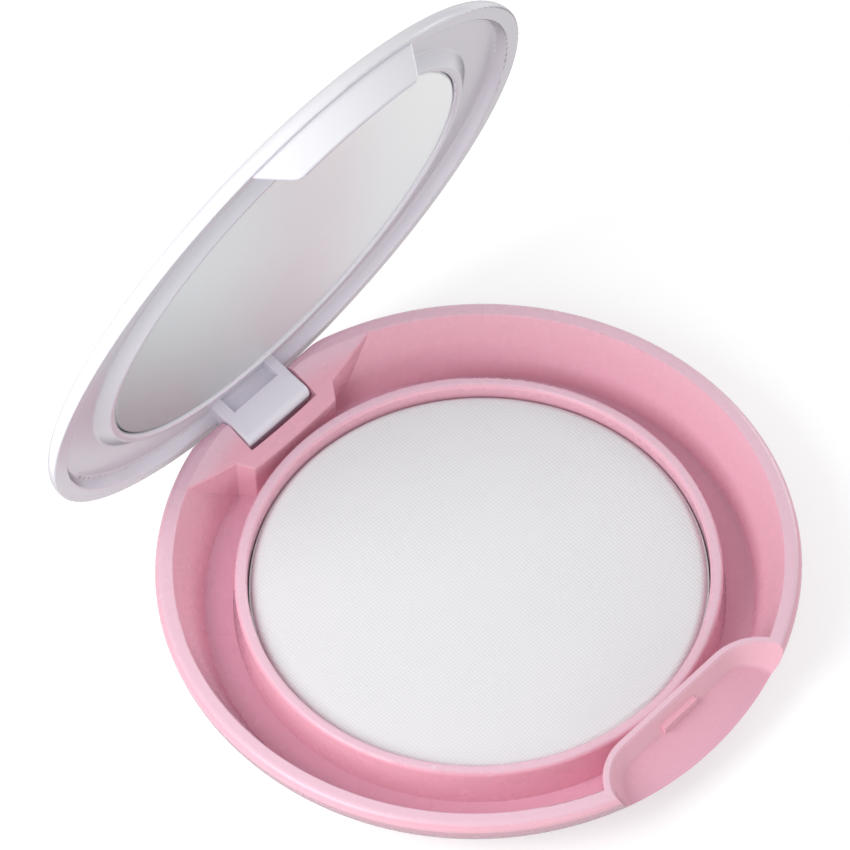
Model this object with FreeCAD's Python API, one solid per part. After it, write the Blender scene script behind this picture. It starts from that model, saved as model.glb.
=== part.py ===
import FreeCAD, Part
import math
import os

# Round pressed-powder compact, shown open.
# Frame: origin at the centre of the flat underside, +Z up, +Y towards the hinge, X along the hinge pin.
# All sizes are in millimetres and degrees.

# Powder pan
pan_radius = 29.6
pan_height = 2.9
pan_sheet = 0.25
pan_bend = 0.8
cake_rise = 0.85
cake_round = 0.9
cake_gap = 0.02
glue_radius = 24.0
glue_thickness = 0.3

# Ring that frames the pan
pan_clearance = 0.15
ring_wall = 1.6
ring_height = 5.65
ring_flare = 0.45
ring_round = 0.6

# Base shell
trough_width = 3.6
wall_lean = 3.8
lip_width = 2.3
rim_height = 10.5
floor_thickness = 1.8
side_radius = 8.0
foot_margin = 0.3
foot_round = 1.5
trough_round = 0.6
lip_round = 0.3
rim_round = 1.1

# Hinge pin and its shelf on the base
hinge_inset = 3.0
hinge_drop = 2.1
pin_radius = 0.75
pin_press = 0.01
pin_recess = 0.6
shelf_gap = 0.6
shelf_slope = 24.0
shelf_front_half = 7.6
shelf_step_half = 9.1
shelf_step = 1.9
shelf_tip_half = 17.1
shelf_round = 0.4

# Thumb scoop in the rim, opposite the hinge
scoop_half = 16.0
scoop_corner = 7.0
scoop_wall = 1.0
scoop_gap = 0.55
scoop_step = 2.5
scoop_lean = 25.0
scoop_slope = 24.0
scoop_round = 0.8
scoop_edge = 0.25
scoop_wall_round = 0.3
nub_half = 3.0
nub_height = 1.4
nub_proud = 0.3

# Lid shell
lid_gap = 0.15
lid_land = 0.5
lid_edge_radius = 1.8
lid_crown_rise = 2.5
lid_lip_width = 2.2
well_depth = 1.65
well_lean = 0.7
well_round = 0.6
shoulder_width = 2.85
shoulder_crest = 1.05
shoulder_depth = 0.25
shoulder_round = 0.45
lid_lip_round = 0.25

# Mirror and its tape
mirror_radius = 30.2
mirror_thickness = 1.5
mirror_depth = 0.6
mirror_bevel = 0.25
mirror_clearance = 0.15
tape_radius = 26.0
tape_thickness = 0.3

# Knuckle of the lid on the pin
knuckle_half = 5.8
knuckle_thickness = 3.4
knuckle_reach = 3.3
knuckle_round = 1.2
knuckle_end_round = 0.4
knuckle_bar = 4.6
knuckle_rib = 1.7
knuckle_web = 2.2
knuckle_fit = 0.05
knuckle_clearance = 0.3
knuckle_front_gap = 0.5
swing_clearance = 0.5

# Thumb tab and catch rib of the lid
tab_root_half = 14.0
tab_tip_half = 10.4
tab_length = 4.4
tab_thickness = 0.9
tab_inset = 0.6
tab_corner = 2.0
catch_half = 2.7
catch_thickness = 1.2
catch_reach = 2.0
catch_clearance = 0.35

# Opening angle of the lid as shown
lid_open = 75.7

# Overlap that lets two bodies of one moulding join, margin by which a cut passes a face, and nearness
root = 0.3
past = 2.0
near = 1e-4

# Derived radii of the base, from the pan outwards
ring_bore = pan_radius + pan_clearance
ring_top_radius = ring_bore + ring_wall
ring_foot_radius = ring_top_radius + ring_flare
trough_radius = ring_foot_radius + trough_width
lip_radius = trough_radius + wall_lean
case_radius = lip_radius + lip_width

# Derived places of the hinge, the shelf, the scoop and the lid
hinge_y = case_radius - hinge_inset
hinge_z = rim_height - hinge_drop
lid_z = rim_height + lid_gap
notch_half = knuckle_half + knuckle_clearance
notch_reach = math.hypot(knuckle_reach - knuckle_round, knuckle_thickness / 2 - knuckle_round)
notch_reach = notch_reach + knuckle_round + knuckle_clearance
relief_radius = hinge_drop + lid_gap - swing_clearance
shelf_front = ring_foot_radius + shelf_gap
shelf_tip = math.sqrt(lip_radius ** 2 - shelf_tip_half ** 2)
scoop_back = ring_foot_radius + scoop_gap + scoop_wall
scoop_foot = scoop_back + scoop_step * math.tan(math.radians(scoop_lean))
nub_face = scoop_foot + nub_proud
pocket_radius = mirror_radius + mirror_clearance
pocket_depth = mirror_depth + mirror_thickness + tape_thickness
shoulder_foot = pocket_radius + shoulder_width
tab_radius = case_radius - tab_inset
tab_round = tab_thickness / 3


def at(r, z):
    """Point of a profile in the XZ plane."""
    return FreeCAD.Vector(r, 0, z)


def chain(points):
    """Straight edges through the points in order."""
    return [Part.LineSegment(a, b).toShape() for a, b in zip(points, points[1:])]


def lathe(edges):
    """Solid of revolution about Z of the closed profile that the edges make."""
    face = Part.Face(Part.Wire(Part.__sortEdges__(edges)))
    return face.revolve(FreeCAD.Vector(0, 0, 0), FreeCAD.Vector(0, 0, 1), 360)


def turned(points):
    """Solid of revolution about Z of a polygon."""
    return lathe(chain(points + points[:1]))


def block(low, high):
    """Box between two opposite corners."""
    size = [b - a for a, b in zip(low, high)]
    return Part.makeBox(*size, FreeCAD.Vector(*low))


def prism(points, low, high):
    """Upright prism on a plan polygon, from one height to another."""
    corners = [FreeCAD.Vector(x, y, low) for x, y in points]
    face = Part.Face(Part.Wire(chain(corners + corners[:1])))
    return face.extrude(FreeCAD.Vector(0, 0, high - low))


def bar_along_x(radius, low, high):
    """Round bar on the hinge axis between two values of X."""
    start = FreeCAD.Vector(low, hinge_y, hinge_z)
    return Part.makeCylinder(radius, high - low, start, FreeCAD.Vector(1, 0, 0))


def round_rims(shape, rims, size):
    """Fillet the full circles of the shape that have one of the given radii and heights."""
    edges = []
    for edge in shape.Edges:
        if edge.Degenerated or not isinstance(edge.Curve, Part.Circle):
            continue
        for radius, height in rims:
            level = abs(edge.Curve.Center.z - height) < near
            if level and abs(edge.Curve.Radius - radius) < near:
                edges.append(edge)
    return shape.makeFillet(size, edges)


def edges_in(shape, test):
    """Edges of the shape whose bounding box passes the test."""
    return [edge for edge in shape.Edges if not edge.Degenerated and test(edge.BoundBox)]


def base_blank():
    """Outer form of the base, filled: flat foot, straight taper and an arc that stands upright at the rim."""
    centre = case_radius - side_radius
    foot = trough_radius + foot_margin
    reach = math.hypot(foot - centre, rim_height)
    turn = math.atan2(-rim_height, foot - centre) + math.acos(side_radius / reach)

    def on_side(angle):
        return at(centre + side_radius * math.cos(angle), rim_height + side_radius * math.sin(angle))

    rim = at(case_radius, rim_height)
    edges = chain([on_side(turn), at(foot, 0), at(0, 0), at(0, rim_height), rim])
    edges.append(Part.Arc(on_side(turn), on_side(turn / 2), rim).toShape())
    blank = round_rims(lathe(edges), [(foot, 0)], foot_round)
    return round_rims(blank, [(case_radius, rim_height)], rim_round)


def base_bowl():
    """Hollow of the base: flat floor, rounded corner and a wall that leans out to the lip."""
    top = rim_height + past
    hollow = turned([
        at(0, floor_thickness),
        at(trough_radius, floor_thickness),
        at(lip_radius, rim_height),
        at(lip_radius, top),
        at(0, top),
    ])
    return round_rims(hollow, [(trough_radius, floor_thickness)], trough_round)


def hinge_shelf(blank):
    """Shelf that carries the pin, under a shallow cone that falls from the lip towards the ring."""
    step = shelf_front + shelf_step
    half = [
        (shelf_front_half, shelf_front),
        (shelf_step_half, step),
        (shelf_tip_half, shelf_tip),
        (shelf_tip_half, case_radius),
    ]
    plan = half + [(-x, y) for x, y in reversed(half)]
    fall = (lip_radius - ring_bore) * math.tan(math.radians(shelf_slope))
    under_cone = turned([
        at(ring_bore, 0),
        at(ring_bore, rim_height - fall),
        at(lip_radius, rim_height),
        at(case_radius, rim_height),
        at(case_radius, 0),
    ])
    shelf = prism(plan, 0, rim_height).common(blank).common(under_cone)

    def on_wall(box):
        top_edge = box.ZMin > rim_height - fall and box.YMax < shelf_tip + near
        upright = max(box.XLength, box.YLength) < near and box.YMax < shelf_tip - near
        return top_edge or upright

    return shelf.makeFillet(shelf_round, edges_in(shelf, on_wall))


def scoop_plan(inset, height):
    """Plan outline of the thumb scoop at one height, drawn in from its size at the rim."""
    half = scoop_half - inset
    corner = scoop_corner - inset
    back = -scoop_back - inset
    far = -case_radius - past
    side = scoop_half - scoop_corner
    slant = corner * math.sqrt(0.5)

    def on(x, y):
        return FreeCAD.Vector(x, y, height)

    edges = []
    for sign in (-1, 1):
        start = on(sign * half, back - corner)
        middle = on(sign * (side + slant), back - corner + slant)
        end = on(sign * side, back)
        edges.append(Part.Arc(start, middle, end).toShape())
        edges.extend(chain([on(sign * half, far), start]))
    edges.extend(chain([on(-side, back), on(side, back)]))
    edges.extend(chain([on(-half, far), on(half, far)]))
    return Part.Wire(Part.__sortEdges__(edges))


def scoop_fill(blank):
    """Solid behind and under the scoop, up to the thin wall that parts it from the trough."""
    face = Part.Face(scoop_plan(-scoop_wall, 0))
    fill = face.extrude(FreeCAD.Vector(0, 0, rim_height))

    def on_top(box):
        return box.ZMin > rim_height - near and box.YMax > -case_radius

    return fill.makeFillet(scoop_wall_round, edges_in(fill, on_top)).common(blank)


def scoop_cut():
    """Space of the scoop: steep back wall, a floor that falls to the outer side and an eased top edge."""
    lean = math.tan(math.radians(scoop_lean))
    top = scoop_plan(-past * lean, rim_height + past)
    depth = (scoop_corner - past) / lean
    bottom = scoop_plan(depth * lean, rim_height - depth)
    wide = 2 * case_radius
    foot = FreeCAD.Vector(0, -scoop_foot, rim_height - scoop_step)
    above = block((-wide, -scoop_foot - wide, foot.z), (wide, -scoop_foot + wide, foot.z + wide))
    above.rotate(foot, FreeCAD.Vector(1, 0, 0), scoop_slope)
    space = Part.makeLoft([top, bottom], True, True).common(above)

    def on_floor(box):
        fall = (-scoop_foot - box.YMin) * math.tan(math.radians(scoop_slope))
        lowest = abs(box.ZMin - (foot.z - fall)) < near
        return lowest and box.ZMax < foot.z + near and box.YMax > -case_radius

    space = space.makeFillet(scoop_round, edges_in(space, on_floor))
    flare = scoop_plan(-scoop_edge - past, rim_height + past)
    eased = scoop_plan(lean * scoop_edge, rim_height - scoop_edge)
    return space.fuse(Part.makeLoft([flare, eased], True, True))


def scoop_nub():
    """Small ledge at the foot of the scoop's back wall that the lid's catch rib passes."""
    low = rim_height - scoop_step - nub_proud
    return block((-nub_half, -nub_face, low), (nub_half, -scoop_back, low + nub_height))


def hinge_notch():
    """Gap in the shelf for the lid's knuckle, open to the back."""
    front = hinge_y - notch_reach - knuckle_front_gap
    low = (-notch_half, front, hinge_z - notch_reach)
    return block(low, (notch_half, case_radius + past, rim_height + past))


def swing_relief():
    """Space behind the pin that the lid's lip swings through."""
    half = math.sqrt(case_radius ** 2 - hinge_y ** 2) + past
    space = block((-half, hinge_y, 0), (half, case_radius + past, rim_height + past))
    barrel = bar_along_x(relief_radius, -half, half)
    under = block((-half, hinge_y, 0), (half, hinge_y + relief_radius, hinge_z))
    return space.cut(barrel.fuse(under))


def make_base_shell():
    """Moulded base: dish with a flat lip, hinge shelf and thumb scoop."""
    blank = base_blank()
    shell = round_rims(blank.cut(base_bowl()), [(lip_radius, rim_height)], lip_round)
    shell = shell.fuse(hinge_shelf(blank)).fuse(scoop_fill(blank))
    shell = shell.cut(scoop_cut()).fuse(scoop_nub())
    shell = shell.cut(swing_relief()).cut(hinge_notch())
    return shell.cut(bar_along_x(pin_radius + pin_press, -case_radius, case_radius))


def make_pan_ring():
    """Insert ring on the floor of the base, flared at its foot and rounded at its top."""
    top = floor_thickness + ring_height
    ring = turned([
        at(ring_bore, floor_thickness),
        at(ring_foot_radius, floor_thickness),
        at(ring_top_radius, top),
        at(ring_bore, top),
    ])
    return round_rims(ring, [(ring_top_radius, top), (ring_bore, top)], ring_round)


def make_pan_glue():
    """Disc of adhesive that holds the pan to the floor."""
    return Part.makeCylinder(glue_radius, glue_thickness, at(0, floor_thickness))


def make_powder_pan():
    """Pressed sheet-metal pan with a bent foot."""
    low = floor_thickness + glue_thickness
    inner = pan_radius - pan_sheet
    pan = Part.makeCylinder(pan_radius, pan_height, at(0, low))
    pan = round_rims(pan, [(pan_radius, low)], pan_bend)
    hollow = Part.makeCylinder(inner, pan_height, at(0, low + pan_sheet))
    hollow = round_rims(hollow, [(inner, low + pan_sheet)], pan_bend - pan_sheet)
    return pan.cut(hollow)


def make_powder_cake():
    """Pressed powder in the pan, with a rounded edge that starts at the rim of the metal."""
    low = floor_thickness + glue_thickness + pan_sheet
    top = floor_thickness + glue_thickness + pan_height + cake_rise
    radius = pan_radius - pan_sheet - cake_gap
    cake = Part.makeCylinder(radius, top - low, at(0, low))
    cake = round_rims(cake, [(radius, low)], pan_bend - pan_sheet + cake_gap)
    return round_rims(cake, [(radius, top)], cake_round)


def make_hinge_pin():
    """Steel pin whose ends stop inside the outer side of the base."""
    half = math.sqrt((case_radius - pin_recess) ** 2 - (hinge_y + pin_radius) ** 2)
    return bar_along_x(pin_radius, -half, half)


def lid_blank():
    """Lid turned about its axis: rounded side, low crown, lip, well, shoulder and mirror pocket."""
    edge_r = case_radius - lid_edge_radius
    edge_z = lid_z + lid_land
    rise = lid_edge_radius + lid_crown_rise
    crown = (edge_r ** 2 + rise ** 2 - lid_edge_radius ** 2) / (2 * lid_crown_rise)
    crown_z = edge_z + rise - crown
    slope = math.atan2(edge_r, edge_z - crown_z)

    def on_edge(angle):
        return at(edge_r + lid_edge_radius * math.sin(angle), edge_z + lid_edge_radius * math.cos(angle))

    def on_crown(angle):
        return at(crown * math.sin(angle), crown_z + crown * math.cos(angle))

    side = at(case_radius, edge_z)
    top = at(0, edge_z + rise)
    well_z = lid_z + well_depth
    crest_z = lid_z + shoulder_depth
    pocket_z = lid_z + pocket_depth
    lip = case_radius - lid_lip_width
    edges = chain([
        side,
        at(case_radius, lid_z),
        at(lip, lid_z),
        at(lip - well_lean, well_z),
        at(shoulder_foot, well_z),
        at(pocket_radius + shoulder_crest, crest_z),
        at(pocket_radius, crest_z),
        at(pocket_radius, pocket_z),
        at(0, pocket_z),
        top,
    ])
    quarter = (slope + math.pi / 2) / 2
    edges.append(Part.Arc(side, on_edge(quarter), on_edge(slope)).toShape())
    edges.append(Part.Arc(on_edge(slope), on_crown(slope / 2), top).toShape())
    blank = lathe(edges)
    blank = round_rims(blank, [(lip - well_lean, well_z), (shoulder_foot, well_z)], well_round)
    crest = [(pocket_radius + shoulder_crest, crest_z), (pocket_radius, crest_z)]
    blank = round_rims(blank, crest, shoulder_round)
    return round_rims(blank, [(case_radius, lid_z), (lip, lid_z)], lid_lip_round)


def lid_knuckle():
    """Hinge block of the lid: two ribs and a web that carry a round-ended bar with the pin bore."""
    front = hinge_y - knuckle_thickness / 2
    back = hinge_y + knuckle_thickness / 2
    end = hinge_z - knuckle_reach
    top = lid_z + well_depth + root
    body = block((-knuckle_half, front, end), (knuckle_half, back, top))
    low_edges = edges_in(body, lambda box: box.ZMax < end + near and box.XLength > knuckle_half)
    body = body.makeFillet(knuckle_round, low_edges)
    end_edges = edges_in(body, lambda box: box.XLength < near and box.ZMin < top - near)
    body = body.makeFillet(knuckle_end_round, end_edges)
    half = knuckle_half - knuckle_rib
    core = block((-half, front - past, end + knuckle_bar), (half, back - knuckle_web, top + past))
    bore = bar_along_x(pin_radius + knuckle_fit, -knuckle_half - past, knuckle_half + past)
    return body.cut(core).cut(bore)


def lid_tab():
    """Thumb tab: a tapered apron below the lip, set in a little from the lid's side."""
    tip = lid_z - tab_length
    top = lid_z + root
    half = [(tab_tip_half, tip), (tab_root_half, lid_z), (tab_root_half, top)]
    outline = half + [(-x, z) for x, z in reversed(half)]
    points = [FreeCAD.Vector(x, 0, z) for x, z in outline]
    plate = Part.Face(Part.Wire(chain(points + points[:1])))
    apron = plate.extrude(FreeCAD.Vector(0, -case_radius - past, 0))
    corners = edges_in(apron, lambda box: box.ZMax < tip + near and box.YLength > case_radius)
    apron = apron.makeFillet(tab_corner, corners)
    skin = Part.makeCylinder(tab_radius, top - tip, at(0, tip))
    skin = skin.cut(Part.makeCylinder(tab_radius - tab_thickness, top - tip, at(0, tip)))
    tab = skin.common(apron)
    free_edges = edges_in(tab, lambda box: box.ZMin < lid_z - near and box.XLength > tab_thickness)
    return tab.makeFillet(tab_round, free_edges)


def lid_catch():
    """Rib behind the tab that snaps past the nub in the scoop."""
    face = -nub_face - catch_clearance
    low = (-catch_half, face - catch_thickness, lid_z - catch_reach)
    return block(low, (catch_half, face, lid_z + well_depth + root))


def make_lid_shell():
    """Moulded lid with its hinge knuckle, thumb tab and catch rib, closed."""
    shell = lid_blank().fuse(lid_knuckle()).fuse(lid_tab()).fuse(lid_catch())
    return shell.removeSplitter()


def make_mirror_tape():
    """Double-sided tape between the lid and the mirror, closed."""
    return Part.makeCylinder(tape_radius, tape_thickness, at(0, lid_z + mirror_depth + mirror_thickness))


def make_mirror():
    """Round glass mirror with an eased front edge, closed."""
    low = lid_z + mirror_depth
    glass = Part.makeCylinder(mirror_radius, mirror_thickness, at(0, low))
    front = edges_in(glass, lambda box: box.ZMax < low + near)
    return glass.makeChamfer(mirror_bevel, front)


def opened(shape):
    """Shape of the closed lid, swung about the pin to its opening angle."""
    shape.rotate(FreeCAD.Vector(0, hinge_y, hinge_z), FreeCAD.Vector(-1, 0, 0), lid_open)
    return shape


parts = {
    "base_shell": make_base_shell(),
    "pan_ring": make_pan_ring(),
    "pan_glue": make_pan_glue(),
    "powder_pan": make_powder_pan(),
    "powder_cake": make_powder_cake(),
    "hinge_pin": make_hinge_pin(),
    "lid_shell": opened(make_lid_shell()),
    "mirror_tape": opened(make_mirror_tape()),
    "mirror": opened(make_mirror()),
}

os.makedirs("parts", exist_ok=True)
for name, shape in parts.items():
    shape.exportStep("parts/" + name + ".step")
    solids = len(shape.Solids)
    print(name, "solids", solids, "valid", shape.isValid(), "volume", round(shape.Volume, 1))
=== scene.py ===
"""Looks of a round pressed-powder compact: its finishes, a soft studio and the photograph's camera."""

import logging
import math
from dataclasses import dataclass, replace
from enum import Enum

import bpy
from mathutils import Matrix, Vector

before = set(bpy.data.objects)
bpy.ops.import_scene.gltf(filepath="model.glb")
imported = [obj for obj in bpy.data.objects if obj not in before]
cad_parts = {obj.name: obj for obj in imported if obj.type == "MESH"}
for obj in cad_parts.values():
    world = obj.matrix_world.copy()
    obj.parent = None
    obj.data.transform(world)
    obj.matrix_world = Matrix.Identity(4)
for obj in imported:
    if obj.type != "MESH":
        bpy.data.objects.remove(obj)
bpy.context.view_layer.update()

MM = 0.001
WHITE = (1.0, 1.0, 1.0, 1.0)
Colour = tuple[float, float, float]
Place = tuple[float, float, float]
Socket = bpy.types.NodeSocket
log = logging.getLogger("compact")

# Curve of 8-bit screen colours
TOP_LEVEL = 255
TOE_END = 0.04045
TOE_SLOPE = 12.92
CURVE_SHIFT = 0.055
CURVE_POWER = 2.4


def srgb(red: int, green: int, blue: int) -> Colour:
    """Linear colour of an 8-bit screen colour.

    Args:
        red: Red from 0 to 255.
        green: Green from 0 to 255.
        blue: Blue from 0 to 255.

    Returns:
        The same colour in linear light.
    """

    def linear(level: int) -> float:
        """One channel in linear light.

        Args:
            level: The channel from 0 to 255.

        Returns:
            The channel in linear light, from 0 to 1.
        """
        share = level / TOP_LEVEL
        if share <= TOE_END:
            return share / TOE_SLOPE
        return ((share + CURVE_SHIFT) / (1 + CURVE_SHIFT)) ** CURVE_POWER

    return linear(red), linear(green), linear(blue)


def darker(colour: Colour, share: float) -> Colour:
    """A colour with each channel brought down to a share of itself."""
    return tuple(share * channel for channel in colour)


class Effect(Enum):
    """Shader node groups that several finishes share."""

    MOULD_GRAIN = "mould_grain"
    DUST = "dust_specks"


@dataclass(frozen=True)
class Span:
    """Where a value starts and stops changing, and what it becomes at each end."""

    low: float = 0.0
    high: float = 1.0
    start: float = 0.0
    end: float = 1.0


@dataclass(frozen=True)
class Specks:
    """Dust on a finish: how fine and how dense it lies, and how it shows."""

    scale: float
    amount: float
    share: float
    colour: Colour


class NodeBench:
    """A shader tree and the few steps that build it."""

    def __init__(self, tree: bpy.types.NodeTree) -> None:
        """Keep the material's or the group's tree to work on."""
        self.tree = tree

    def add(self, kind: str, **settings: object) -> bpy.types.Node:
        """Add a node and set its properties.

        Args:
            kind: Blender's name of the node type.
            settings: Properties of the node by name.

        Returns:
            The new node.
        """
        node = self.tree.nodes.new(kind)
        for name, value in settings.items():
            setattr(node, name, value)
        return node

    def join(self, source: Socket, target: Socket) -> None:
        """Link an output to an input."""
        self.tree.links.new(source, target)

    def feed(self, target: Socket, value: object) -> None:
        """Link a socket to the target, or set a plain value on it.

        Args:
            target: The input to fill.
            value: An output socket, a number or a colour.
        """
        if isinstance(value, Socket):
            self.join(value, target)
        elif isinstance(value, tuple) and target.type == "RGBA":
            target.default_value = (*value, 1.0)
        else:
            target.default_value = value

    def maths(self, operation: str, *values: object) -> Socket:
        """Result of a Math node.

        Args:
            operation: Blender's name of the operation.
            values: Its inputs, sockets or numbers.

        Returns:
            The node's output.
        """
        node = self.add("ShaderNodeMath", operation=operation)
        for target, value in zip(node.inputs, values):
            self.feed(target, value)
        return node.outputs[0]

    def ramp(self, value: Socket, span: Span) -> Socket:
        """Value carried smoothly over a span and held at its ends.

        Args:
            value: The value to carry over.
            span: Where it starts and stops changing, and the results there.

        Returns:
            The carried value.
        """
        node = self.add("ShaderNodeMapRange", interpolation_type="SMOOTHSTEP")
        settings = (value, span.low, span.high, span.start, span.end)
        for target, setting in zip(node.inputs, settings):
            self.feed(target, setting)
        return node.outputs[0]

    def blend(self, share: Socket, first: object, second: object) -> Socket:
        """Colour between two colours.

        Args:
            share: How much of the second colour.
            first: The first colour.
            second: The second colour.

        Returns:
            The mixed colour.
        """
        node = self.add("ShaderNodeMix", data_type="RGBA")
        sockets = [s for s in node.inputs if s.type == "RGBA"]
        self.feed(node.inputs[0], share)
        self.feed(sockets[0], first)
        self.feed(sockets[1], second)
        return next(s for s in node.outputs if s.type == "RGBA")

    def noise(self, place: Socket, scale: object, detail: float) -> Socket:
        """Level of a noise texture.

        Args:
            place: The coordinates to read it at.
            scale: Features per metre.
            detail: Octaves of finer noise.

        Returns:
            A value about one half.
        """
        node = self.add("ShaderNodeTexNoise")
        self.feed(node.inputs["Vector"], place)
        self.feed(node.inputs["Scale"], scale)
        node.inputs["Detail"].default_value = detail
        return node.outputs["Fac"]

    def place(self) -> Socket:
        """Coordinates in the object's own frame, in metres."""
        return self.add("ShaderNodeTexCoord").outputs["Object"]

    def effect(self, effect: Effect, **values: float) -> bpy.types.Node:
        """Place a shared effect with its own values.

        Args:
            effect: The group to place.
            values: Its inputs by name, with underscores for spaces.

        Returns:
            The group node.
        """
        node = self.add("ShaderNodeGroup", node_tree=bpy.data.node_groups[effect.value])
        for name, value in values.items():
            node.inputs[name.replace("_", " ").title()].default_value = value
        return node


Group = tuple[NodeBench, dict[str, Socket], dict[str, Socket]]


@dataclass
class SharedEffects:
    """Builds the shader node groups, once each."""

    grain_detail: float = 3.0
    mottle_detail: float = 4.0
    mottle_rise: Span = Span(0.3, 0.7)
    haze_detail: float = 5.0
    haze_times_finer: float = 5.0
    haze_rise: Span = Span(0.35, 0.7)
    speck_fade: Span = Span(0.08, 0.2, 1.0, 0.0)

    def build(self) -> None:
        """Make every group."""
        self.mould_grain()
        self.dust()

    def start(self, effect: Effect, inputs: dict[str, float], outputs: list[str]) -> Group:
        """Begin a group with its named sockets.

        Args:
            effect: The group's name.
            inputs: Input names and their usual values.
            outputs: Output names, all plain values.

        Returns:
            The bench, the group's inputs by name and its outputs by name.
        """
        tree = bpy.data.node_groups.new(effect.value, "ShaderNodeTree")
        for name, value in inputs.items():
            socket = tree.interface.new_socket(name, in_out="INPUT", socket_type="NodeSocketFloat")
            socket.default_value = value
        for name in outputs:
            tree.interface.new_socket(name, in_out="OUTPUT", socket_type="NodeSocketFloat")
        bench = NodeBench(tree)
        given = {s.name: s for s in bench.add("NodeGroupInput").outputs}
        wanted = {s.name: s for s in bench.add("NodeGroupOutput").inputs}
        return bench, given, wanted

    def mould_grain(self) -> None:
        """Fine grain, slow mottling and haze of a moulded or pressed surface."""
        usual = {"Grain Scale": 2500.0, "Mottle Scale": 70.0}
        bench, given, wanted = self.start(Effect.MOULD_GRAIN, usual, ["Height", "Mottle", "Haze"])
        place = bench.place()
        fine = bench.noise(place, given["Grain Scale"], self.grain_detail)
        slow = bench.noise(place, given["Mottle Scale"], self.mottle_detail)
        haze_scale = bench.maths("MULTIPLY", given["Mottle Scale"], self.haze_times_finer)
        haze = bench.noise(place, haze_scale, self.haze_detail)
        bench.join(fine, wanted["Height"])
        bench.join(bench.ramp(slow, self.mottle_rise), wanted["Mottle"])
        bench.join(bench.ramp(haze, self.haze_rise), wanted["Haze"])

    def dust(self) -> None:
        """Sparse small specks."""
        usual = {"Speck Scale": 900.0, "Amount": 0.04}
        bench, given, wanted = self.start(Effect.DUST, usual, ["Mask"])
        cells = bench.add("ShaderNodeTexVoronoi")
        bench.join(bench.place(), cells.inputs["Vector"])
        bench.join(given["Speck Scale"], cells.inputs["Scale"])
        chosen = bench.add("ShaderNodeSeparateColor")
        bench.join(cells.outputs["Color"], chosen.inputs[0])
        rare = bench.maths("LESS_THAN", chosen.outputs[0], given["Amount"])
        spot = bench.ramp(cells.outputs["Distance"], self.speck_fade)
        bench.join(bench.maths("MULTIPLY", rare, spot), wanted["Mask"])


@dataclass(frozen=True)
class Finish:
    """A finish that a material can be made from."""

    name: str

    def make(self) -> bpy.types.Material:
        """Build the material.

        Returns:
            The finished material.
        """
        material = bpy.data.materials.new(self.name)
        material.use_nodes = True
        bench = NodeBench(material.node_tree)
        shader = material.node_tree.nodes["Principled BSDF"]
        self.dress(bench, shader)
        return material

    def dress(self, bench: NodeBench, shader: bpy.types.Node) -> None:
        """Connect the finish to the material's Principled shader."""
        raise NotImplementedError

    def dusted(self, bench: NodeBench, body: Socket, specks: Specks) -> Socket:
        """Colour with specks of dust on it.

        Args:
            bench: The material's tree.
            body: The colour without dust.
            specks: The dust.

        Returns:
            The dusted colour.
        """
        dust = bench.effect(Effect.DUST, speck_scale=specks.scale, amount=specks.amount)
        share = bench.maths("MULTIPLY", dust.outputs["Mask"], specks.share)
        return bench.blend(share, body, specks.colour)

    def bump(self, bench: NodeBench, shader: bpy.types.Node, height: Socket, depth: float) -> None:
        """Raise the surface by a height.

        Args:
            bench: The material's tree.
            shader: Its Principled shader.
            height: Height as a share of the depth.
            depth: Real height in metres where the share is 1.
        """
        node = bench.add("ShaderNodeBump")
        node.inputs["Strength"].default_value = 1.0
        node.inputs["Distance"].default_value = depth
        bench.join(height, node.inputs["Height"])
        bench.join(node.outputs[0], shader.inputs["Normal"])


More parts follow.
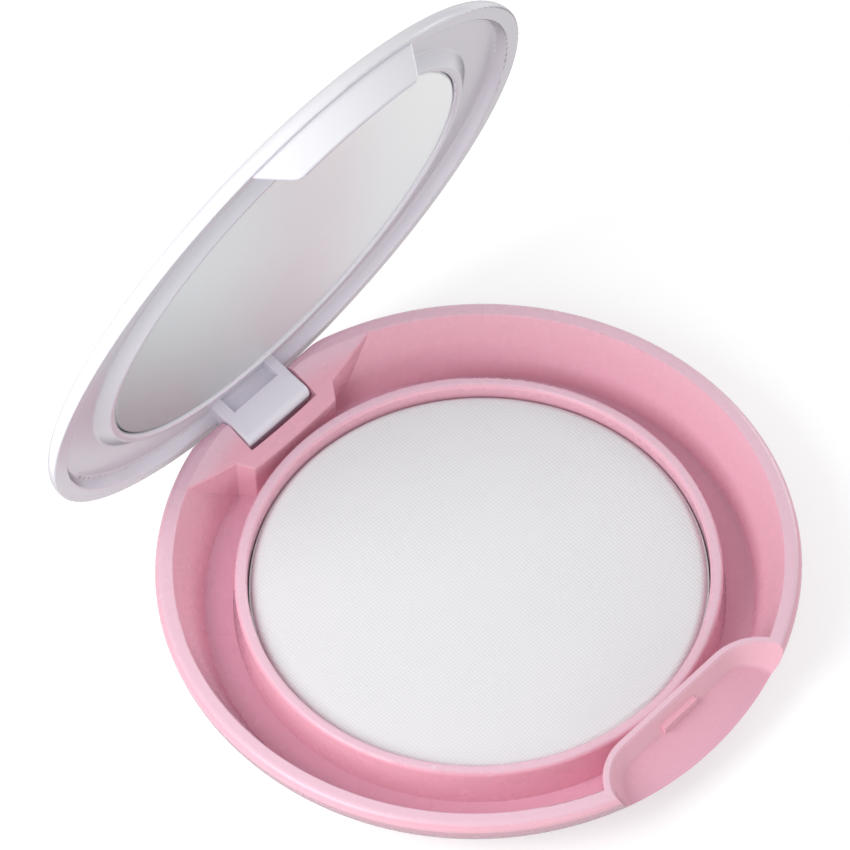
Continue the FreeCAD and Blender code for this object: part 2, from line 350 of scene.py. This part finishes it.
@dataclass(frozen=True)
class MouldedPlastic(Finish):
    """Glossy moulded plastic with painted light in its colour: a paler, bluer painted tone low down, a
    painted glow on steep faces, a painted sheen on high flat rims, and painted shade on faces that
    look down and at grazing angles.
    """

    light: Colour
    # Painted light: a paler, bluer tone low down in the part
    deep_lit: Colour
    deep_lit_rise: Span
    # Painted glow: a lighter tone on steep faces
    wall_glow: Colour
    # Painted sheen: a paler tone on high, flat faces
    rim: Colour
    rim_sheen_rise: Span
    # Painted shade: a duller tone on faces that look down
    under: Colour
    # Painted shade: a duller tone where the surface is seen at a grazing angle
    outline_shade: Colour
    gloss: float
    shine: float
    grain_depth: float
    grain_scale: float = 2500.0
    mottle_scale: float = 60.0
    drift: Span = Span(start=-0.04, end=0.04)
    # Where the painted glow, painted sheen, painted shade below and painted shade at grazing angles
    # come in
    wall_glow_slope: Span = Span(0.3, 0.8, 0.6, 0.0)
    rim_sheen_slope: Span = Span(0.55, 0.95)
    under_shade_slope: Span = Span(-0.4, 0.05, 0.8, 0.0)
    outline_shade_graze: Span = Span(0.72, 0.96, 0.0, 0.8)
    outline_shade_blend: float = 0.5
    clearest: float = 0.01
    haziest: float = 0.02
    specks: Specks = Specks(500.0, 0.015, 0.25, (0.85, 0.85, 0.85))

    def dress(self, bench: NodeBench, shader: bpy.types.Node) -> None:
        """Colour with painted light by height, slope and viewing angle, dust specks, hazy gloss and
        fine grain.

        Args:
            bench: The material's tree.
            shader: Its Principled shader.
        """
        grain = bench.effect(
            Effect.MOULD_GRAIN, grain_scale=self.grain_scale, mottle_scale=self.mottle_scale
        )
        body = self.shaded_outline(bench, self.toned(bench, grain.outputs["Mottle"]))
        bench.feed(shader.inputs["Base Color"], self.dusted(bench, body, self.specks))
        haze = Span(start=self.gloss - self.clearest, end=self.gloss + self.haziest)
        bench.feed(shader.inputs["Roughness"], bench.ramp(grain.outputs["Haze"], haze))
        self.bump(bench, shader, grain.outputs["Height"], self.grain_depth)
        shader.inputs["Specular IOR Level"].default_value = self.shine

    def toned(self, bench: NodeBench, mottle: Socket) -> Socket:
        """Body colour by height, with painted light: a paler painted tone low down, a painted glow on
        steep faces, a painted sheen on high flat rims and painted shade on faces that look down.

        Args:
            bench: The material's tree.
            mottle: Slow unevenness from 0 to 1.

        Returns:
            The body colour.
        """
        up, height = self.standing(bench)
        # Painted light: the colour turns paler and bluer low down
        rise = bench.ramp(height, self.deep_lit_rise)
        drift = bench.ramp(mottle, self.drift)
        body = bench.blend(bench.maths("ADD", rise, drift), self.deep_lit, self.light)
        # Painted glow on steep faces
        body = bench.blend(bench.ramp(up, self.wall_glow_slope), body, self.wall_glow)
        # Painted sheen on high, flat faces
        flat = bench.ramp(up, self.rim_sheen_slope)
        high = bench.ramp(height, self.rim_sheen_rise)
        body = bench.blend(bench.maths("MULTIPLY", flat, high), body, self.rim)
        # Painted shade on faces that look down
        return bench.blend(bench.ramp(up, self.under_shade_slope), body, self.under)

    def shaded_outline(self, bench: NodeBench, body: Socket) -> Socket:
        """Body colour with painted shade where the surface is seen at a grazing angle.

        Args:
            bench: The material's tree.
            body: The body colour.

        Returns:
            The colour with painted shade along its silhouette.
        """
        # Painted shade at grazing angles
        facing = bench.add("ShaderNodeLayerWeight")
        facing.inputs["Blend"].default_value = self.outline_shade_blend
        graze = bench.ramp(facing.outputs["Facing"], self.outline_shade_graze)
        return bench.blend(graze, body, self.outline_shade)

    def standing(self, bench: NodeBench) -> tuple[Socket, Socket]:
        """How far a face looks up, and its height in the object's frame.

        Args:
            bench: The material's tree.

        Returns:
            The upward share of the face's direction, and the height in metres.
        """
        spot = bench.add("ShaderNodeTexCoord")
        facing = bench.add("ShaderNodeSeparateXYZ")
        bench.join(spot.outputs["Normal"], facing.inputs[0])
        standing = bench.add("ShaderNodeSeparateXYZ")
        bench.join(spot.outputs["Object"], standing.inputs[0])
        return facing.outputs["Z"], standing.outputs["Z"]


@dataclass(frozen=True)
class PressedPowder(Finish):
    """Matt pressed powder with the print of a woven cloth."""

    colour: Colour
    # Painted shade: the colour of the print's hollows
    shade: Colour
    thread: float
    turn: float
    print_depth: float
    grain_scale: float = 6000.0
    mottle_scale: float = 120.0
    print_wear: Span = Span(start=0.35)
    grain_share: float = 0.8
    hollow_shade: Span = Span(-1.0, 1.0, 0.55, 0.0)
    roughness: float = 0.85
    shine: float = 0.25
    sheen: float = 0.08

    def dress(self, bench: NodeBench, shader: bpy.types.Node) -> None:
        """Cloth print with painted shade in its hollows, fine grains and a faint unevenness.

        Args:
            bench: The material's tree.
            shader: Its Principled shader.
        """
        weave = self.weave(bench)
        grain = bench.effect(
            Effect.MOULD_GRAIN, grain_scale=self.grain_scale, mottle_scale=self.mottle_scale
        )
        patch = bench.ramp(grain.outputs["Mottle"], self.print_wear)
        print_height = bench.maths("MULTIPLY", weave, patch)
        rough_height = bench.maths("MULTIPLY", grain.outputs["Height"], self.grain_share)
        self.bump(bench, shader, bench.maths("ADD", print_height, rough_height), self.print_depth)
        # Painted shade: darker colour in the hollows of the cloth print
        hollow_shading = bench.ramp(weave, self.hollow_shade)
        bench.feed(shader.inputs["Base Color"], bench.blend(hollow_shading, self.colour, self.shade))
        shader.inputs["Roughness"].default_value = self.roughness
        shader.inputs["Specular IOR Level"].default_value = self.shine
        shader.inputs["Sheen Weight"].default_value = self.sheen

    def weave(self, bench: NodeBench) -> Socket:
        """Height of the cloth's threads.

        Args:
            bench: The material's tree.

        Returns:
            The product of two crossing waves, from -1 to 1.
        """
        turn = bench.add("ShaderNodeVectorRotate", rotation_type="Z_AXIS")
        bench.join(bench.place(), turn.inputs["Vector"])
        turn.inputs["Angle"].default_value = math.radians(self.turn)
        axes = bench.add("ShaderNodeSeparateXYZ")
        bench.join(turn.outputs[0], axes.inputs[0])
        rate = 2 * math.pi / self.thread
        steps = [bench.maths("MULTIPLY", axes.outputs[axis], rate) for axis in ("X", "Y")]
        return bench.maths("MULTIPLY", *(bench.maths("SINE", step) for step in steps))


@dataclass(frozen=True)
class SilveredGlass(Finish):
    """Mirror under a soft film, partly metallic, with a painted reflection that brightens towards the
    lid's free end.
    """

    # Colours and reach of the painted reflection
    reflection_near: Colour
    reflection_middle: Colour
    reflection_far: Colour
    reflection_climb: Vector
    start: float
    halfway: float
    end: float
    gloss: float
    silver: float
    shine: float = 0.2
    grain_scale: float = 900.0
    mottle_scale: float = 40.0
    film: float = 0.01
    specks: Specks = Specks(350.0, 0.01, 0.3, (0.9, 0.9, 0.9))

    def dress(self, bench: NodeBench, shader: bpy.types.Node) -> None:
        """Painted reflection of grey that brightens across the mirror, a hazy film and a few specks.

        Args:
            bench: The material's tree.
            shader: Its Principled shader.
        """
        # Painted reflection: a grey gradient along a fixed direction of the lid
        along = bench.add("ShaderNodeVectorMath", operation="DOT_PRODUCT")
        bench.join(bench.place(), along.inputs[0])
        along.inputs[1].default_value = self.reflection_climb
        rising = bench.ramp(along.outputs["Value"], Span(self.start, self.halfway))
        closing = bench.ramp(along.outputs["Value"], Span(self.halfway, self.end))
        body = bench.blend(closing, bench.blend(rising, self.reflection_near, self.reflection_middle), self.reflection_far)
        bench.feed(shader.inputs["Base Color"], self.dusted(bench, body, self.specks))
        grain = bench.effect(
            Effect.MOULD_GRAIN, grain_scale=self.grain_scale, mottle_scale=self.mottle_scale
        )
        film = Span(start=self.gloss - self.film, end=self.gloss + self.film)
        bench.feed(shader.inputs["Roughness"], bench.ramp(grain.outputs["Mottle"], film))
        shader.inputs["Metallic"].default_value = self.silver
        shader.inputs["Specular IOR Level"].default_value = self.shine


@dataclass(frozen=True)
class DrawnMetal(Finish):
    """Bare metal with fine marks along one axis."""

    colour: Colour
    gloss: float
    stretch: Vector
    streak_scale: float = 3000.0
    streak_detail: float = 2.0
    streak_tone: float = 0.75
    streak_low: float = 0.3
    streak_high: float = 0.7
    streak_haze: float = 0.15
    streak_depth: float = 0.003 * MM

    def dress(self, bench: NodeBench, shader: bpy.types.Node) -> None:
        """Streaks from drawing or pressing, and a little haze.

        Args:
            bench: The material's tree.
            shader: Its Principled shader.
        """
        squeeze = bench.add("ShaderNodeMapping")
        bench.join(bench.place(), squeeze.inputs["Vector"])
        squeeze.inputs["Scale"].default_value = self.stretch
        streak = bench.noise(squeeze.outputs[0], self.streak_scale, self.streak_detail)
        dark = darker(self.colour, self.streak_tone)
        bench.feed(shader.inputs["Base Color"], bench.blend(streak, self.colour, dark))
        haze = Span(self.streak_low, self.streak_high, self.gloss, self.gloss + self.streak_haze)
        bench.feed(shader.inputs["Roughness"], bench.ramp(streak, haze))
        self.bump(bench, shader, streak, self.streak_depth)
        shader.inputs["Metallic"].default_value = 1.0


@dataclass(frozen=True)
class SoftAdhesive(Finish):
    """Cloudy adhesive film."""

    colour: Colour
    grain_scale: float = 1200.0
    mottle_scale: float = 200.0
    cloud_tone: float = 0.8
    haze: Span = Span(start=0.45, end=0.7)
    bubble_depth: float = 0.02 * MM

    def dress(self, bench: NodeBench, shader: bpy.types.Node) -> None:
        """Cloudy colour and a rough, slightly bubbled face.

        Args:
            bench: The material's tree.
            shader: Its Principled shader.
        """
        grain = bench.effect(
            Effect.MOULD_GRAIN, grain_scale=self.grain_scale, mottle_scale=self.mottle_scale
        )
        dark = darker(self.colour, self.cloud_tone)
        cloud = bench.blend(grain.outputs["Mottle"], self.colour, dark)
        bench.feed(shader.inputs["Base Color"], cloud)
        bench.feed(shader.inputs["Roughness"], bench.ramp(grain.outputs["Haze"], self.haze))
        self.bump(bench, shader, grain.outputs["Height"], self.bubble_depth)


# Pink plastic whose colour holds painted light: a paler tone low down, a painted glow on steep faces,
# a painted sheen on the lip, and painted shade on faces that look down and at grazing angles
PINK_PLASTIC = MouldedPlastic(
    name="pink_plastic",
    light=srgb(231, 170, 187),
    deep_lit=srgb(232, 176, 197),
    deep_lit_rise=Span(3 * MM, 9.5 * MM),
    wall_glow=srgb(243, 192, 206),
    rim=srgb(231, 191, 206),
    rim_sheen_rise=Span(9.0 * MM, 10.3 * MM),
    under=srgb(186, 138, 156),
    outline_shade=srgb(150, 112, 130),
    gloss=0.27,
    shine=0.4,
    grain_depth=0.0008 * MM,
)
# The ring's plastic, with its painted sheen on the ring's top
RING_PLASTIC = replace(PINK_PLASTIC, name="ring_plastic", rim_sheen_rise=Span(6.4 * MM, 7.1 * MM))
# White plastic with the same kinds of painted light, its painted sheen on the lid's highest faces
WHITE_PLASTIC = MouldedPlastic(
    name="white_plastic",
    light=srgb(231, 230, 238),
    deep_lit=srgb(231, 229, 238),
    deep_lit_rise=Span(8 * MM, 60 * MM),
    wall_glow=srgb(236, 235, 243),
    rim=srgb(240, 240, 245),
    rim_sheen_rise=Span(80 * MM, 86 * MM),
    under=srgb(204, 198, 208),
    outline_shade=srgb(128, 122, 134),
    gloss=0.2,
    shine=0.35,
    grain_depth=0.0006 * MM,
)
POWDER = PressedPowder(
    name="pressed_powder",
    colour=srgb(232, 231, 233),
    # Painted shade in the print's hollows
    shade=srgb(216, 215, 218),
    thread=0.65 * MM,
    turn=51.0,
    print_depth=0.02 * MM,
)
MIRROR = SilveredGlass(
    name="silvered_glass",
    # Painted reflection: grey that turns almost white towards the lid's free end
    reflection_near=srgb(158, 166, 166),
    reflection_middle=srgb(246, 255, 255),
    reflection_far=srgb(252, 255, 255),
    reflection_climb=Vector((0.5665, 0.5687, 0.5963)),
    start=16 * MM,
    halfway=48 * MM,
    end=70 * MM,
    gloss=0.36,
    silver=0.3,
)
PAN_METAL = DrawnMetal(
    name="pan_metal",
    colour=srgb(226, 226, 229),
    gloss=0.42,
    stretch=Vector((1, 1, 0.05)),
)
PIN_STEEL = DrawnMetal(
    name="pin_steel",
    colour=srgb(190, 190, 195),
    gloss=0.2,
    stretch=Vector((0.05, 1, 1)),
)
ADHESIVE = SoftAdhesive(name="adhesive", colour=srgb(225, 222, 210))


def dress_node(node: str, material: bpy.types.Material) -> None:
    """Give a node of the frame its finish.

    Args:
        node: The node's name.
        material: The finish for every slot of it.
    """
    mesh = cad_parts[node].data
    mesh.materials.clear()
    mesh.materials.append(material)
    log.info("dressed %s in %s", node, material.name)


@dataclass
class BaseDish:
    """The pink base with its ring and hinge pin."""

    plastic: MouldedPlastic = PINK_PLASTIC
    ring: MouldedPlastic = RING_PLASTIC
    steel: DrawnMetal = PIN_STEEL

    def build(self) -> None:
        """Dress the base's pieces."""
        dress_node("base_shell", self.plastic.make())
        dress_node("pan_ring", self.ring.make())
        dress_node("hinge_pin", self.steel.make())


@dataclass
class PowderTray:
    """The pan, its powder and the glue under it."""

    powder: PressedPowder = POWDER
    metal: DrawnMetal = PAN_METAL
    glue: SoftAdhesive = ADHESIVE

    def build(self) -> None:
        """Dress the tray's pieces."""
        dress_node("powder_cake", self.powder.make())
        dress_node("powder_pan", self.metal.make())
        dress_node("pan_glue", self.glue.make())


@dataclass
class MirrorLid:
    """The white lid with its mirror and tape."""

    plastic: MouldedPlastic = WHITE_PLASTIC
    glass: SilveredGlass = MIRROR
    tape: SoftAdhesive = ADHESIVE

    def build(self) -> None:
        """Dress the lid's pieces."""
        dress_node("lid_shell", self.plastic.make())
        dress_node("mirror", self.glass.make())
        dress_node("mirror_tape", self.tape.make())


@dataclass(frozen=True)
class SoftBox:
    """One soft square lamp, aimed at a point over the powder."""

    name: str
    place: Place
    size: float
    power: float
    aim: Place = (0.0, 0.0, 10 * MM)

    def build(self) -> None:
        """Hang the lamp."""
        lamp = bpy.data.lights.new(self.name, "AREA")
        lamp.shape = "RECTANGLE"
        lamp.size = self.size
        lamp.size_y = self.size
        lamp.energy = self.power
        holder = bpy.data.objects.new(self.name, lamp)
        bpy.context.scene.collection.objects.link(holder)
        holder.location = self.place
        away = Vector(self.place) - Vector(self.aim)
        holder.rotation_euler = away.to_track_quat("Z", "Y").to_euler()
        log.info("hung %s", self.name)


LAMPS = (
    SoftBox(name="key_box", place=(-0.2, 0.03, 0.185), size=0.16, power=0.5),
    SoftBox(name="fill_box", place=(-0.25, -0.65, 0.2), size=0.4, power=1.0),
    SoftBox(name="side_box", place=(0.42, 0.02, 0.14), size=0.2, power=0.55),
)


@dataclass
class Studio:
    """Pale floor, white surroundings and soft lamps."""

    lamps: tuple[SoftBox, ...] = LAMPS
    floor_size: float = 4.0
    floor_drop: float = 0.05 * MM
    floor_tone: float = 0.6
    floor_roughness: float = 0.9
    floor_glow: float = 0.55
    ambient: float = 0.48

    def build(self) -> None:
        """Set up the floor, the world and the lamps."""
        self.floor()
        self.world()
        for lamp in self.lamps:
            lamp.build()

    def floor(self) -> None:
        """Lay the floor, just under the foot."""
        half = self.floor_size / 2
        sides = ((-half, -half), (half, -half), (half, half), (-half, half))
        corners = [(x, y, -self.floor_drop) for x, y in sides]
        mesh = bpy.data.meshes.new("floor")
        mesh.from_pydata(corners, [], [(0, 1, 2, 3)])
        floor = bpy.data.objects.new("floor", mesh)
        bpy.context.scene.collection.objects.link(floor)
        mesh.materials.append(self.paper())

    def paper(self) -> bpy.types.Material:
        """Floor material, white to the camera but for the shadow on it.

        Returns:
            The floor's material.
        """
        material = bpy.data.materials.new("floor_paper")
        material.use_nodes = True
        bench = NodeBench(material.node_tree)
        shader = material.node_tree.nodes["Principled BSDF"]
        tone = self.floor_tone
        shader.inputs["Base Color"].default_value = (tone, tone, tone, 1.0)
        shader.inputs["Roughness"].default_value = self.floor_roughness
        shader.inputs["Specular IOR Level"].default_value = 0.0
        shader.inputs["Emission Color"].default_value = WHITE
        glow = bench.maths("MULTIPLY", self.seen(bench), self.floor_glow)
        bench.join(glow, shader.inputs["Emission Strength"])
        return material

    def seen(self, bench: NodeBench) -> Socket:
        """One where the camera, a reflection or glass looks, else zero.

        Args:
            bench: The floor's or the world's tree.

        Returns:
            The mask.
        """
        path = bench.add("ShaderNodeLightPath")
        first = bench.maths("MAXIMUM", path.outputs["Is Camera Ray"], path.outputs["Is Glossy Ray"])
        return bench.maths("MAXIMUM", first, path.outputs["Is Transmission Ray"])

    def world(self) -> None:
        """White surroundings that also light the object."""
        world = bpy.data.worlds.new("surroundings")
        bpy.context.scene.world = world
        world.use_nodes = True
        bench = NodeBench(world.node_tree)
        background = world.node_tree.nodes["Background"]
        strength = bench.ramp(self.seen(bench), Span(start=self.ambient))
        bench.join(strength, background.inputs["Strength"])
        background.inputs["Color"].default_value = WHITE


@dataclass
class PhotoCamera:
    """The photograph's long lens, fitted to the rim and the lid."""

    azimuth: float = -44.89
    elevation: float = 53.39
    roll: float = -2.67
    distance: float = 900 * MM
    aim_right: float = -5.99 * MM
    aim_up: float = 17.19 * MM
    rim_height: float = 10.5 * MM
    lens: float = 298.0
    sensor: float = 36.0
    nearest: float = 10 * MM

    def build(self) -> None:
        """Place the camera and make it the scene's."""
        data = bpy.data.cameras.new("photo_camera")
        data.lens = self.lens
        data.sensor_width = self.sensor
        data.clip_start = self.nearest
        camera = bpy.data.objects.new("photo_camera", data)
        bpy.context.scene.collection.objects.link(camera)
        camera.matrix_world = self.stand()
        bpy.context.scene.camera = camera

    def stand(self) -> Matrix:
        """Where the camera stands and how it is turned.

        Returns:
            The camera's matrix in the scene.
        """
        around = math.radians(self.azimuth)
        lift = math.radians(self.elevation)
        lean = math.radians(self.roll)
        level = math.cos(lift)
        back = Vector((math.sin(around) * level, -math.cos(around) * level, math.sin(lift)))
        right = Vector((math.cos(around), math.sin(around), 0.0))
        up = back.cross(right)
        across = math.cos(lean) * right + math.sin(lean) * up
        upward = math.cos(lean) * up - math.sin(lean) * right
        place = self.aim_right * right + self.aim_up * up + self.distance * back
        place.z += self.rim_height
        turn = Matrix((across, upward, back)).transposed().to_4x4()
        return Matrix.Translation(place) @ turn


def main() -> None:
    """Build the compact's looks, the studio and the camera, in order."""
    logging.basicConfig(level=logging.INFO, format="%(message)s")
    bpy.context.scene.view_settings.view_transform = "Standard"
    SharedEffects().build()
    for assembly in (BaseDish(), PowderTray(), MirrorLid(), Studio(), PhotoCamera()):
        assembly.build()
        log.info("built %s", type(assembly).__name__)


if __name__ == "__main__":
    main()
